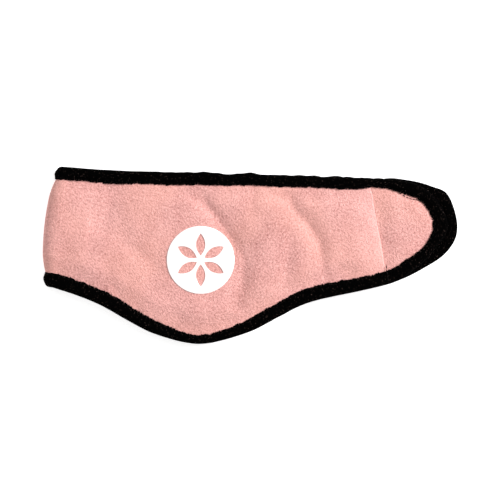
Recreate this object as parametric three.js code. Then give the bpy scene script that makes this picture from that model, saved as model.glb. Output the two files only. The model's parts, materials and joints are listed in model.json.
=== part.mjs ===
// A soft spa headband with a hook-and-loop closure, folded in half at the forehead and lying flat.
// Two plies of fleece are bound along every free edge with a folded tape. The rear half lies on the
// table, outer face down, the front half lies on it, and its rounded end is the closure tab.
// Units are millimetres, +Z is up, and the finished group stands on z = 0, centred in x and y.
import * as THREE from "three";

// ---- Driving dimensions ----
// The band's outline, seen from above. The fold's hinge line starts at the origin and runs down.
const foldHeight = 88.6; // across the band at the fold
const foldTilt = THREE.MathUtils.degToRad(6.15); // the hinge line's lean from the y axis
const earReach = 98.6; // fold to the lowest point of the ear cover
const earDepth = 129.3; // that point below the top of the fold
const seamReach = 222.3; // fold to the top of the tab seam
const topFall = 8.1; // the top edge falls by this much on the way
const seamHeight = 78.8; // across the band at the tab seam
const seamTilt = THREE.MathUtils.degToRad(9.7);
const frontTabLength = 50.4; // seam to tip
const rearTabLength = 57.4; // the end below is longer, and shows past the tab

// The cloth
const outerPly = 1.6; // outer fleece
const liningPly = 1.2; // inner fleece
const tapeThickness = 0.9; // binding tape, one layer
const tapePressed = 0.45; // the same under its topstitch
const bindingWidth = 9.5; // the binding's face, on each side of the band
const stitchMargin = 2.3; // the pressed strip along the binding's inner edge
const threadRadius = 0.18;
const plyGap = 0.3; // between layers that touch
const halvesGap = 0.4; // between the two halves
const jointGap = 0.3; // between pieces on the two sides of a fold or hinge line
const foldBulge = 6.9; // the outer fleece stands this far out of the fold, between the bindings

// The closure
const patchThickness = 0.6;
const patchInset = 2.5; // from the binding's inner edge to the hook or loop tape
const hookSetback = 12; // tab seam to the hook tape, the stretch that flexes
const loopLength = 96; // loop tape, back from the rear tab's tip
const patchStitchInset = 2;

// The printed mark
const printRadius = 24.75;
const printThickness = 0.25;
const printGap = 0.1;
const printBelowTop = 68; // its centre, below the top of the fold
const petalCount = 6;
const petalStart = 3.2; // from the disc's centre to where a petal begins
const petalBow = 0.42; // how far a petal's sides are drawn out, against its length
const printMargin = 5.5; // from the petals' tips to the disc's rim

// ---- Heights worked out from those ----
const outerBottom = tapeThickness + plyGap;
const liningBottom = outerBottom + outerPly + plyGap;
const halfThickness = liningBottom + liningPly + plyGap + tapeThickness;
const hingeHeight = halfThickness + halvesGap / 2;
const fullThickness = 2 * hingeHeight;
const flip = (z) => fullThickness - z; // a height in the rear half, carried to the front half
const plyInset = tapeThickness + plyGap; // from the bound edge to the plies' cut edge

// ---- Colours ----
const material = (name, color, roughness) =>
  new THREE.MeshStandardMaterial({ name, color, roughness, metalness: 0 });
const pinkFleece = material("pink_fleece", 0xe9aca4, 0.95);
const liningFleece = material("lining_fleece", 0xe3a59d, 0.95);
const blackTape = material("black_binding", 0x0b0909, 0.9);
const blackThread = material("black_thread", 0x121010, 0.6);
const hookTape = material("hook_tape", 0x141414, 0.7);
const loopTape = material("loop_tape", 0x1a1818, 0.95);
const whitePrint = material("white_print", 0xfdf3f2, 0.6);

// ---- Reference lines: the fold's hinge line and the tab's seam line ----
const vec = (x, y) => new THREE.Vector2(x, y);
const foldTop = vec(0, 0);
const foldDown = vec(-Math.sin(foldTilt), -Math.cos(foldTilt));
const foldFoot = foldTop.clone().addScaledVector(foldDown, foldHeight);
const foldAcross = vec(Math.cos(foldTilt), -Math.sin(foldTilt)); // square to the line, into the band
const seamTop = vec(seamReach, -topFall);
const seamDown = vec(Math.sin(seamTilt), -Math.cos(seamTilt));
const seamFoot = seamTop.clone().addScaledVector(seamDown, seamHeight);
const seamAcross = vec(Math.cos(seamTilt), Math.sin(seamTilt));
const ear = vec(earReach, -earDepth);

// A point between two others, at one share of the way along and another share of the way down.
const between = (a, b, alongShare, downShare) =>
  vec(THREE.MathUtils.lerp(a.x, b.x, alongShare), THREE.MathUtils.lerp(a.y, b.y, downShare));

// ---- Edge curves, from the fold, along the top, round the end and back to the fold ----
const topMiddle = [between(foldTop, seamTop, 0.195, 0.35), between(foldTop, seamTop, 0.6, 0.63)];
const bottomMiddle = [
  between(seamFoot, ear, 0.407, 0.293),
  between(seamFoot, ear, 0.582, 0.548),
  between(seamFoot, ear, 0.758, 0.82),
  ear,
  between(foldFoot, ear, 0.725, 0.856),
  between(foldFoot, ear, 0.523, 0.611),
  between(foldFoot, ear, 0.347, 0.345),
  between(foldFoot, ear, 0.185, 0.164),
];

// The rounded ends, as shares of the tab's length and of half the seam's height.
const frontEndShape = [
  [0.444, 0.863],
  [0.825, 0.547],
  [1, -0.094],
  [0.74, -0.524],
  [0.399, -0.82],
];
const rearEndShape = [
  [0.446, 0.86],
  [0.76, 0.66],
  [0.955, 0.427],
  [1, -0.16],
  [0.858, -0.536],
  [0.571, -0.773],
];
const endPoints = (shape, length) =>
  shape.map(([along, across]) =>
    seamTop
      .clone()
      .lerp(seamFoot, (1 - across) / 2)
      .addScaledVector(seamAcross, along * length),
  );

const lastOf = (list) => list[list.length - 1];
const sampleStep = 7;
const shortestSide = 0.5;

// Points along a spline between two of its knots, each with the direction into the band.
function sampleEdge(knots, from, to) {
  const curve = new THREE.SplineCurve(knots);
  const samples = [];
  for (let k = from; k < to; k++) {
    const pieces = Math.max(2, Math.ceil(knots[k].distanceTo(knots[k + 1]) / sampleStep));
    for (let i = k === from ? 0 : 1; i <= pieces; i++) {
      const t = (k + i / pieces) / (knots.length - 1);
      const tangent = curve.getTangent(t);
      samples.push({ at: curve.getPoint(t), inward: vec(tangent.y, -tangent.x) });
    }
  }
  return samples;
}

// Cuts an end of the samples along a reference line, so that sections there lie in its plane.
function mitre(sample, line, across, gap) {
  const stretch = line.dot(sample.inward);
  sample.inward = line.clone().divideScalar(stretch);
  sample.at.addScaledVector(across, gap);
}

const frontKnots = [
  foldTop,
  ...topMiddle,
  seamTop,
  ...endPoints(frontEndShape, frontTabLength),
  seamFoot,
  ...bottomMiddle,
  foldFoot,
];
const seamTopKnot = 1 + topMiddle.length;
const seamFootKnot = seamTopKnot + frontEndShape.length + 1;
const rearKnots = [
  foldTop,
  ...topMiddle,
  seamTop,
  ...endPoints(rearEndShape, rearTabLength),
  seamFoot,
  ...bottomMiddle,
  foldFoot,
];

const foldEnds = (first, last) => {
  if (first) mitre(first, foldDown, foldAcross, jointGap);
  if (last) mitre(last, foldDown.clone().negate(), foldAcross, jointGap);
};
const rearEdge = sampleEdge(rearKnots, 0, rearKnots.length - 1);
foldEnds(rearEdge[0], lastOf(rearEdge));
const frontTopEdge = sampleEdge(frontKnots, 0, seamTopKnot);
foldEnds(frontTopEdge[0], null);
mitre(lastOf(frontTopEdge), seamDown, seamAcross, -jointGap / 2);
const frontBottomEdge = sampleEdge(frontKnots, seamFootKnot, frontKnots.length - 1);
mitre(frontBottomEdge[0], seamDown.clone().negate(), seamAcross, -jointGap / 2);
foldEnds(null, lastOf(frontBottomEdge));
const tabEdge = sampleEdge(frontKnots, seamTopKnot, seamFootKnot);
mitre(tabEdge[0], seamDown, seamAcross, jointGap / 2);
mitre(lastOf(tabEdge), seamDown.clone().negate(), seamAcross, jointGap / 2);

const insetPoints = (samples, inset) =>
  samples.map((s) => s.at.clone().addScaledVector(s.inward, inset));

// ---- Solid makers ----
// A closed mesh through a row of matching sections, with its faces turned outwards.
function loft(sections, outline, ring = false) {
  const count = outline.length;
  const positions = sections.flat().flatMap((p) => [p.x, p.y, p.z]);
  const index = [];
  const bands = ring ? sections.length : sections.length - 1;
  for (let s = 0; s < bands; s++) {
    const here = s * count;
    const next = ((s + 1) % sections.length) * count;
    for (let i = 0; i < count; i++) {
      const j = (i + 1) % count;
      index.push(here + i, next + i, next + j, here + i, next + j, here + j);
    }
  }
  if (!ring) {
    const last = (sections.length - 1) * count;
    const { isClockWise, triangulateShape } = THREE.ShapeUtils;
    for (const face of triangulateShape(outline, [])) {
      const turned = isClockWise(face.map((i) => outline[i])) !== isClockWise(outline);
      const [a, b, c] = turned ? face.reverse() : face;
      index.push(a, b, c, last + c, last + b, last + a);
    }
  }
  const geometry = new THREE.BufferGeometry();
  geometry.setAttribute("position", new THREE.Float32BufferAttribute(positions, 3));
  geometry.setIndex(signedVolume(positions, index) < 0 ? index.reverse() : index);
  geometry.computeVertexNormals();
  return geometry;
}

function signedVolume(positions, index) {
  const corner = (i) => new THREE.Vector3().fromArray(positions, 3 * i);
  let sum = 0;
  for (let i = 0; i < index.length; i += 3) {
    sum += corner(index[i]).dot(corner(index[i + 1]).cross(corner(index[i + 2])));
  }
  return sum / 6;
}

// The section points are (distance in from the edge, height); front turns it over for the front half.
const alongEdge = (samples, section, front) =>
  loft(
    samples.map(({ at, inward }) =>
      section.map(
        ({ x: inset, y: z }) =>
          new THREE.Vector3(at.x + inset * inward.x, at.y + inset * inward.y, front ? flip(z) : z),
      ),
    ),
    section,
  );

// A point on the hinge line, turned about it by an angle that is 0 at the table and a half turn on top.
function roundFold(down, radius, angle, bulge = 0) {
  const out = -Math.sin(angle) * (radius + bulge);
  return new THREE.Vector3(
    foldTop.x + down * foldDown.x + out * foldAcross.x,
    foldTop.y + down * foldDown.y + out * foldAcross.y,
    hingeHeight - Math.cos(angle) * radius,
  );
}
const foldSteps = 12;
const aroundFold = (section, pointAt) =>
  loft(
    Array.from({ length: foldSteps + 1 }, (_, k) =>
      section.map((p) => pointAt(p, (Math.PI * k) / foldSteps)),
    ),
    section,
  );

const slab = (points, bottom, thickness) =>
  new THREE.ExtrudeGeometry(points instanceof THREE.Shape ? points : new THREE.Shape(points), {
    depth: thickness,
    bevelEnabled: false,
    curveSegments: 14,
  }).translate(0, 0, bottom);

// What is left of a polygon on one side of a line, the side that the direction points to.
function clip(points, from, direction) {
  const height = (p) => p.clone().sub(from).dot(direction);
  return points.flatMap((p, i) => {
    const q = points[(i + 1) % points.length];
    const [a, b] = [height(p), height(q)];
    const kept = a >= 0 ? [p] : [];
    return a >= 0 === b >= 0 ? kept : [...kept, p.clone().lerp(q, a / (a - b))];
  });
}

// ---- Sections ----
// The binding: a tape folded over the edge, pressed thin where it is stitched down.
function bindingSection() {
  const high = halfThickness;
  const corner = 1.2;
  const step = bindingWidth - stitchMargin;
  const pressed = tapeThickness - tapePressed;
  const lower = [
    vec(bindingWidth, pressed),
    vec(step, pressed),
    vec(step, 0),
    vec(corner, 0),
    vec(0, corner),
  ];
  const upper = lower.map((p) => vec(p.x, high - p.y)).reverse();
  const inside = [
    vec(bindingWidth, high - tapeThickness),
    vec(tapeThickness, high - tapeThickness),
    vec(tapeThickness, tapeThickness),
    vec(bindingWidth, tapeThickness),
  ];
  return [...lower, ...upper, ...inside];
}

// A sewing thread that lies in the pressed strip, on the outer face.
function threadSection(inset, height) {
  const sides = 4;
  return Array.from({ length: sides }, (_, i) => {
    const a = (2 * Math.PI * i) / sides;
    return vec(inset + threadRadius * Math.cos(a), height + threadRadius * Math.sin(a));
  });
}
const stitchInset = bindingWidth - stitchMargin / 2;
const edgeThread = threadSection(stitchInset, (tapeThickness - tapePressed) / 2);

// ---- Pieces ----
const band = new THREE.Group();
function add(name, geometry, look) {
  const mesh = new THREE.Mesh(geometry, look);
  mesh.name = name;
  band.add(mesh);
}

// The two plies of the rear half, the front half and the tab.
function addPlies(prefix, outline, front) {
  const outer = front ? flip(outerBottom + outerPly) : outerBottom;
  const lining = front ? flip(liningBottom + liningPly) : liningBottom;
  add(prefix + "_outer_fleece", slab(outline, outer, outerPly), pinkFleece);
  add(prefix + "_lining_fleece", slab(outline, lining, liningPly), liningFleece);
}

function addBinding(name, samples, front) {
  add(name, alongEdge(samples, bindingSection(), front), blackTape);
  add(name + "_topstitch", alongEdge(samples, edgeThread, front), blackThread);
}

addPlies("rear", insetPoints(rearEdge, plyInset), false);
addBinding("rear_binding", rearEdge, false);
addPlies(
  "front",
  [...insetPoints(frontTopEdge, plyInset), ...insetPoints(frontBottomEdge, plyInset)],
  true,
);
addBinding("front_top_binding", frontTopEdge, true);
addBinding("front_bottom_binding", frontBottomEdge, true);
addPlies("tab", insetPoints(tabEdge, plyInset), true);
addBinding("tab_binding", tabEdge, true);

// The cloth in the fold: each ply is a half tube about the hinge line.
function addFoldPly(name, bottom, thickness, bulge, look) {
  const [outerRadius, innerRadius] = [hingeHeight - bottom, hingeHeight - bottom - thickness];
  const lines = 10;
  const covered = bindingWidth + jointGap; // under the binding the ply stays round
  const free = foldHeight - 2 * covered;
  const downs = [
    plyInset,
    ...Array.from({ length: lines + 1 }, (_, i) => covered + (free * i) / lines),
    foldHeight - plyInset,
  ];
  const section = [
    ...downs.map((d) => vec(d, outerRadius)),
    ...[...downs].reverse().map((d) => vec(d, innerRadius)),
  ];
  const share = (down) => THREE.MathUtils.clamp((down - covered) / free, 0, 1);
  const bulgeAt = (down) => bulge * Math.sin(Math.PI * share(down));
  add(name, aroundFold(section, (p, a) => roundFold(p.x, p.y, a, bulgeAt(p.x))), look);
}
addFoldPly("fold_outer_fleece", outerBottom, outerPly, foldBulge, pinkFleece);
addFoldPly("fold_lining_fleece", liningBottom, liningPly, 0, liningFleece);

// The binding in the fold, at the top and the bottom edge.
function addFoldBinding(name, fromTop) {
  const section = bindingSection();
  const point = ({ x: inset, y: z }, angle) =>
    roundFold(fromTop ? inset : foldHeight - inset, hingeHeight - z, angle);
  add(name, aroundFold(section, point), blackTape);
}
addFoldBinding("fold_top_binding", true);
addFoldBinding("fold_bottom_binding", false);

// The outline a distance inside a bound end, cut off straight along a line across the band.
function insideEnd(samples, inset, from, across) {
  const past = samples.filter((s) => s.at.clone().sub(from).dot(across) > 0).slice(1, -1);
  const whole = clip(insetPoints(samples, 0), from, across);
  return past
    .reduce(
      (outline, { at, inward }) =>
        clip(outline, at.clone().addScaledVector(inward, inset), inward),
      whole,
    )
    .filter((p, i, outline) => p.distanceTo(outline.at(i - 1)) > shortestSide);
}

// Hook tape under the tab, loop tape under the rear end, and the thread round each.
function addPatch(name, samples, cutFrom, across, front, look) {
  const inset = bindingWidth + patchInset;
  // The hook tape lies on the lining, the loop tape on the outer fleece, and both face down.
  const seat = front ? flip(liningBottom + liningPly) : outerBottom;
  const bottom = seat - plyGap / 2 - patchThickness;
  add(name, slab(insideEnd(samples, inset, cutFrom, across), bottom, patchThickness), look);

  const stitchFrom = cutFrom.clone().addScaledVector(across, patchStitchInset);
  const ring = insideEnd(samples, inset + patchStitchInset, stitchFrom, across);
  const centre = ring.reduce((sum, p) => sum.add(p), vec(0, 0)).divideScalar(ring.length);
  const section = threadSection(0, bottom - plyGap / 10 - threadRadius);
  const sections = ring.map((p) => {
    const inward = centre.clone().sub(p).normalize();
    return section.map(
      ({ x: side, y: z }) => new THREE.Vector3(p.x + side * inward.x, p.y + side * inward.y, z),
    );
  });
  add(name + "_stitch", loft(sections, section, true), blackThread);
}
const seamMiddle = seamTop.clone().lerp(seamFoot, 0.5);
const hookFrom = seamMiddle.clone().addScaledVector(seamAcross, hookSetback);
const loopFrom = seamMiddle.clone().addScaledVector(seamAcross, rearTabLength - loopLength);
addPatch("hook_patch", tabEdge, hookFrom, seamAcross, true, hookTape);
addPatch("loop_patch", rearEdge, loopFrom, seamAcross, false, loopTape);

// The printed disc on the ear cover, with a ring of petals left out of it.
function addPrint() {
  const centre = vec(earReach, -printBelowTop);
  const length = printRadius - printMargin - petalStart;
  const disc = new THREE.Shape().absarc(centre.x, centre.y, printRadius, 0, 2 * Math.PI);
  for (let i = 0; i < petalCount; i++) {
    const turn = (2 * Math.PI * i) / petalCount;
    const along = vec(Math.sin(turn), Math.cos(turn));
    const start = centre.clone().addScaledVector(along, petalStart);
    const end = start.clone().addScaledVector(along, length);
    const side = vec(along.y, -along.x).multiplyScalar(petalBow * length);
    const middle = start.clone().lerp(end, 0.5);
    const petal = new THREE.Path().moveTo(start.x, start.y);
    petal.quadraticCurveTo(middle.x + side.x, middle.y + side.y, end.x, end.y);
    petal.quadraticCurveTo(middle.x - side.x, middle.y - side.y, start.x, start.y);
    disc.holes.push(petal);
  }
  add("print_disc", slab(disc, flip(outerBottom) + printGap, printThickness), whitePrint);
}
addPrint();

// ---- Placing: the origin is under the middle of the band, on the table ----
const headband = new THREE.Group();
headband.add(band);
const box = new THREE.Box3().setFromObject(band);
band.position.set(-(box.min.x + box.max.x) / 2, -(box.min.y + box.max.y) / 2, -box.min.z);

export default headband;
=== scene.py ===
"""A spa headband of pink fleece with black bound edges, folded in half and lying flat on a table.

Lengths are millimetres until a mesh is made. The fold is at -X, the closure tabs at +X, +Z is up.
"""

import json

import bmesh
import bpy
import numpy as np
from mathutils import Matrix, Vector


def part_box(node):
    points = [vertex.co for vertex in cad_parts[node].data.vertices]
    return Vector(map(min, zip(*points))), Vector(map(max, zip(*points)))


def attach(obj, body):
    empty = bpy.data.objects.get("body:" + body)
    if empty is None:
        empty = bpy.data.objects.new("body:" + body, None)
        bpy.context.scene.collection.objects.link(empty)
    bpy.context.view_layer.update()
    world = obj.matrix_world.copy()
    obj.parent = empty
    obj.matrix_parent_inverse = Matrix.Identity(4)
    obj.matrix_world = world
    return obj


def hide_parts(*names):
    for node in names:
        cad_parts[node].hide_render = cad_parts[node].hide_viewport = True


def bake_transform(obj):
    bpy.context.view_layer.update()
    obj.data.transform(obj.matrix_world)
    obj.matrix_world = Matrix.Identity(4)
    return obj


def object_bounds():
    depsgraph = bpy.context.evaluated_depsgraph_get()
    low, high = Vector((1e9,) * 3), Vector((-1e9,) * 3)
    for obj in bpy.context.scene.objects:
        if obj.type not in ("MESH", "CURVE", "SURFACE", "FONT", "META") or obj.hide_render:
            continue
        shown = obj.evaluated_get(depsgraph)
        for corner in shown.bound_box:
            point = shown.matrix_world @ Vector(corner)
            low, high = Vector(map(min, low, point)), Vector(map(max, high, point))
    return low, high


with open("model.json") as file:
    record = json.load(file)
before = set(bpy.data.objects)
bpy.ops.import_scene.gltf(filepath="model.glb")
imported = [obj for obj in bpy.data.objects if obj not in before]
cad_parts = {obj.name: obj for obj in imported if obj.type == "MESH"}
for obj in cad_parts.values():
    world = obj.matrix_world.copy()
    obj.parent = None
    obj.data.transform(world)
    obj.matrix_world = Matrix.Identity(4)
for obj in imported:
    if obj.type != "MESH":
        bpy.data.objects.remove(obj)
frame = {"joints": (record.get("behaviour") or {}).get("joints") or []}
cad_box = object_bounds()

# ---- Table, camera and studio light ----
# A plain white table top, lit a little from inside. One large soft box stands to the right and
# rakes over the cloth, a weaker one fills from the other side, and the rest is a pale room.
MM = 0.001
VIEW_WIDTH = 359.0  # across the frame, at the height of the cloth
VIEW_CENTRE = (-3.3, 6.6)
LENS, SENSOR = 250.0, 36.0
top_of_cloth = cad_box[1][2]

camera_data = bpy.data.cameras.new("camera")
camera_data.lens, camera_data.sensor_width = LENS, SENSOR
camera = bpy.data.objects.new("camera", camera_data)
camera.location = (
    VIEW_CENTRE[0] * MM,
    VIEW_CENTRE[1] * MM,
    top_of_cloth + VIEW_WIDTH * MM * LENS / SENSOR,
)
bpy.context.scene.collection.objects.link(camera)
bpy.context.scene.camera = camera
bpy.context.scene.view_settings.view_transform = "Standard"


def soft_box(name, place, size, power):
    """A square area light that faces the middle of the table."""
    data = bpy.data.lights.new(name, "AREA")
    data.energy, data.size = power, size
    light = bpy.data.objects.new(name, data)
    light.location = place
    light.rotation_euler = (-Vector(place)).to_track_quat("-Z", "Y").to_euler()
    bpy.context.scene.collection.objects.link(light)


soft_box("key_light", (3.05, 1.45, 2.0), 1.6, 270.0)
soft_box("fill_light", (-1.2, -0.9, 1.7), 1.4, 14.0)
world = bpy.data.worlds.new("room")
world.use_nodes = True
world.node_tree.nodes["Background"].inputs["Color"].default_value = (1.0, 0.985, 0.975, 1)
world.node_tree.nodes["Background"].inputs["Strength"].default_value = 0.46
bpy.context.scene.world = world


class Wire:
    """One output of a node in a material. Arithmetic on wires adds Math nodes to the same tree."""

    def __init__(self, tree, socket=None):
        self.tree, self.socket = tree, socket

    def node(self, kind, inputs, output=0, stops=(), **settings):
        """Adds a node: its settings first, a ramp's stops, then its sockets, as values or wires."""
        new = self.tree.nodes.new("ShaderNode" + kind)
        for name, value in settings.items():
            setattr(new, name, value)
        for place, colour in stops:
            stop = new.color_ramp.elements.new(place)
            stop.color = (*colour, 1)
        for _ in stops[:2]:
            new.color_ramp.elements.remove(new.color_ramp.elements[0])
        for name, value in inputs.items():
            if isinstance(value, Wire):
                self.tree.links.new(value.socket, new.inputs[name])
            else:
                new.inputs[name].default_value = value
        return Wire(self.tree, new.outputs[output] if new.outputs else None)

    def math(self, operation, *values, clamp=False):
        return self.node("Math", dict(enumerate(values)), operation=operation, use_clamp=clamp)

    def __add__(self, other):
        return self.math("ADD", self, other)

    def __sub__(self, other):
        return self.math("SUBTRACT", self, other)

    def __rsub__(self, other):
        return self.math("SUBTRACT", other, self)

    def __mul__(self, other):
        return self.math("MULTIPLY", self, other)

    def clamped(self):
        return self.math("ADD", self, 0.0, clamp=True)

    def over(self, low, high):
        """From 0 at low to 1 at high, eased, and held outside."""
        return self.node(
            "MapRange",
            {"Value": self, "From Min": low, "From Max": high},
            interpolation_type="SMOOTHSTEP",
        )

    def mix(self, first, second):
        """The colour between two colours, with this wire as the share of the second."""
        return self.node(
            "Mix", {0: self, 6: (*first, 1), 7: (*second, 1)}, output=2, data_type="RGBA"
        )

    def tint(self, colour, towards):
        """A colour wire mixed towards a fixed colour, with this wire as the share of that one."""
        return self.node(
            "Mix", {0: self, 6: colour, 7: (*towards, 1)}, output=2, data_type="RGBA"
        )

    def noise(self, scale, detail=2.0, roughness=0.5, stretch=(1, 1, 1), distortion=0.0):
        """Cloud noise on this vector, from 0 to 1, with scale features in each unit of length."""
        place = self.node("Mapping", {"Vector": self, "Scale": stretch})
        return self.node(
            "TexNoise",
            {
                "Vector": place,
                "Scale": scale,
                "Detail": detail,
                "Roughness": roughness,
                "Distortion": distortion,
            },
        )


def new_material(name):
    """An empty material, and a wire to start its nodes from."""
    material = bpy.data.materials.new(name)
    material.use_nodes = True
    material.node_tree.nodes.clear()
    return material, Wire(material.node_tree)


def finish_material(start, surface):
    """Ends a material with one Principled shader: wires for what varies, numbers for the rest."""
    start.node("OutputMaterial", {"Surface": start.node("BsdfPrincipled", surface)})


table_material, table = new_material("white_table")
grain = table.node("TexCoord", {}, output="Object").noise(40.0, detail=3.0)
finish_material(
    table,
    {
        "Base Color": grain.mix((0.925, 0.925, 0.925), (0.955, 0.955, 0.955)),
        "Roughness": 0.8,
        "Emission Color": (1, 1, 1, 1),
        "Emission Strength": 0.5,
    },
)
TABLE_SIZE = 3.0
table_mesh = bpy.data.meshes.new("table_top")
half = TABLE_SIZE / 2
table_mesh.from_pydata(
    [(-half, -half, 0), (half, -half, 0), (half, half, 0), (-half, half, 0)], [], [(0, 1, 2, 3)]
)
table_mesh.materials.append(table_material)
table_top = bpy.data.objects.new("table_top", table_mesh)
bpy.context.scene.collection.objects.link(table_top)

# ---- Outer fleece panel ----
# One piece of brushed pink fleece, cut to the band's outline. It runs from the rear end round the
# forehead fold to the lapped seam at the tab, and its long edges are held in the binding.
PLY = 1.6
UNDER_BINDING = 3.0  # the cut edge lies this far inside the bound edge
COVERED = 9.8  # the binding covers this much
FOLD_BULGE = 3.0
FOLD_PROUD = 1.5  # the cloth already stands out this far where it leaves the binding
PUFF = 3.3
PUFF_SLOPE = 18.0  # it takes this far from the binding to rise
TAB_SIDE_PUFF = 1.3  # the cloth stands this much higher towards the tab
TAB_SIDE_START, TAB_SIDE_FULL = -20.0, 20.0
LAP_FALL = 3.9  # the panel slopes down to its turned edge at the seam
LAP_REACH = 14.0
LAP_TURN = 1.4
LAP_LOWEST = -0.25
VALLEY = 2.0  # the rounding of a crease's bottom
REAR_ROWS, FRONT_ROWS, SEAM_ROWS = 236, 182, 11  # the rows of the mesh
SEAM_SHARE = 0.985  # the front's rows are closer past this share of its length
FOLD_HEIGHT = 88.6
SEAM_HEIGHT = 78.8
EAR_REACH, EAR_DEPTH = 98.6, 129.3
FRONT_TAB, REAR_TAB = 50.4, 57.4

joints = {joint["name"]: joint for joint in frame["joints"]}


def hinge_line(name):
    """A hinge's point, the direction down it and the direction across it, seen from above."""
    down = np.array(joints[name]["axis"][:2])
    down /= np.hypot(*down)
    return np.array(joints[name]["pos_m"][:2]) / MM, down, np.array([-down[1], down[0]])


fold_top, fold_down, fold_across = hinge_line("forehead_fold")
seam_top, seam_down, seam_across = hinge_line("tab_flex")
fold_foot = fold_top + FOLD_HEIGHT * fold_down
seam_foot = seam_top + SEAM_HEIGHT * seam_down
ear_tip = fold_top + (EAR_REACH, -EAR_DEPTH)
hinge_height = joints["forehead_fold"]["pos_m"][2] / MM
full_height = 2 * hinge_height


def through(knots, per_span=24):
    """The uniform Catmull-Rom curve through the knots: a cubic per span, whose slope at a knot is
    half of the step from the knot before to the knot after."""
    knots = np.asarray(knots, float)
    padded = np.vstack([knots[:1], knots, knots[-1:]])[:, None]
    before, start, end, after = padded[:-3], padded[1:-2], padded[2:-1], padded[3:]
    t = np.linspace(0, 1, per_span, endpoint=False)[None, :, None]
    leave, arrive = (end - before) / 2, (after - start) / 2
    cubic = 2 * start - 2 * end + leave + arrive
    square = 3 * end - 3 * start - 2 * leave - arrive
    points = start + leave * t + square * t**2 + cubic * t**3
    return np.vstack([points.reshape(-1, knots.shape[1]), knots[-1:]])


def lengths(points):
    """The length along a line of points, from its start to each point."""
    steps = np.linalg.norm(np.diff(points, axis=0), axis=1)
    return np.concatenate([[0], np.cumsum(steps)])


def at_lengths(points, wanted, measure=None):
    """Points, or values on them, at given lengths along a line of points."""
    measure = lengths(points) if measure is None else measure
    return np.stack([np.interp(wanted, measure, column) for column in points.T], axis=1)


def share_between(first, last, along, down):
    """The point at a share of the way from the first to the last, in X and in Y."""
    return np.array(
        [first[0] + along * (last[0] - first[0]), first[1] + down * (last[1] - first[1])]
    )


def bound_edge(end_shape, tab_length):
    """The outline from the top of the fold, along the top, round the end and back to the foot of
    the fold. The end's shape is given as shares of the tab's length and of half the seam."""
    seam_middle = (seam_top + seam_foot) / 2
    end = [
        seam_middle
        - across * SEAM_HEIGHT / 2 * seam_down
        + along * tab_length * seam_across
        for along, across in end_shape
    ]
    knots = [
        fold_top,
        share_between(fold_top, seam_top, 0.195, 0.35),
        share_between(fold_top, seam_top, 0.6, 0.63),
        seam_top,
        *end,
        seam_foot,
        share_between(seam_foot, ear_tip, 0.407, 0.293),
        share_between(seam_foot, ear_tip, 0.582, 0.548),
        share_between(seam_foot, ear_tip, 0.758, 0.82),
        ear_tip,
        share_between(fold_foot, ear_tip, 0.725, 0.856),
        share_between(fold_foot, ear_tip, 0.523, 0.611),
        share_between(fold_foot, ear_tip, 0.347, 0.345),
        share_between(fold_foot, ear_tip, 0.185, 0.164),
        fold_foot,
    ]
    return through(knots)


front_end = [(0.444, 0.863), (0.825, 0.547), (1, -0.094), (0.74, -0.524), (0.399, -0.82)]
rear_end = [
    (0.446, 0.86),
    (0.76, 0.66),
    (0.955, 0.427),
    (1, -0.16),
    (0.858, -0.536),
    (0.571, -0.773),
]
front_edge = bound_edge(front_end, FRONT_TAB)
rear_edge = bound_edge(rear_end, REAR_TAB)


def inward(points):
    """Unit directions square to a line of points, to its right, which is into the cloth."""
    slope = np.gradient(points, axis=0)
    slope /= np.linalg.norm(slope, axis=1, keepdims=True)
    return np.stack([slope[:, 1], -slope[:, 0]], axis=1)


def inset_edge(points, distance):
    """The line a distance inside a bound edge that runs from fold to fold."""
    into = inward(points)
    into[0] = fold_down / (fold_down @ into[0])
    into[-1] = -fold_down / (-fold_down @ into[-1])
    return points + distance * into


def past_line(points, origin, direction):
    """Which points lie past a line through the origin, square to the direction."""
    return (points - origin) @ direction > 0


def two_sides(edge, origin=None, direction=None, until=False):
    """A fold-to-fold edge as its top and its bottom side, both from the fold towards the end. A
    line across the band can keep only what lies before it (until) or past it."""
    tip = int(np.argmax(edge @ seam_across))
    sides = [edge[: tip + 1], edge[tip:][::-1]]
    if origin is None:
        return sides
    cut = []
    for side in sides:
        past = past_line(side, origin, direction)
        first = int(np.argmax(past))
        reach = (side - origin) @ direction
        share = -reach[first - 1] / (reach[first] - reach[first - 1])
        at_line = side[first - 1] + share * (side[first] - side[first - 1])
        kept = [side[:first], at_line[None]] if until else [at_line[None], side[first:]]
        cut.append(np.vstack(kept))
    return cut


def ruled(sides, shares, columns, tip_gap=0.0):
    """A grid: each row runs straight from one side to the point at the same share of the length on
    the other. A tip gap stops the last row short of where the sides meet."""
    first, second = [
        at_lengths(side, shares * (lengths(side)[-1] - tip_gap)) for side in sides
    ]
    across = np.linspace(0, 1, columns)[None, :, None]
    return first[:, None] * (1 - across) + second[:, None] * across


def ease(t):
    """0 below 0, 1 above 1, and 3t^2 - 2t^3 between."""
    t = np.clip(t, 0, 1)
    return t * t * (3 - 2 * t)


def distance_to(xy, line, step=1.5):
    """The distance from each point of a grid to the nearest of even steps along a line."""
    marks = at_lengths(line, np.arange(0, lengths(line)[-1], step))
    flat = xy.reshape(-1, 2)
    nearest = [
        np.hypot(*(part[:, None] - marks[None]).transpose(2, 0, 1)).min(axis=1)
        for part in np.array_split(flat, len(flat) // 4000 + 1)
    ]
    return np.concatenate(nearest).reshape(xy.shape[:-1])


def waves(xy, period, seed, count=6):
    """A smooth random height of about -1 to 1: sines in random directions, near the period."""
    rng = np.random.default_rng(seed)
    turn, phase = rng.uniform(0, 2 * np.pi, (2, count))
    per_mm = 2 * np.pi / (period * rng.uniform(0.7, 1.5, count))
    along = xy[..., :1] * np.cos(turn) + xy[..., 1:] * np.sin(turn)
    return np.sin(along * per_mm + phase).sum(axis=-1) / count**0.5 / 1.5


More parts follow.
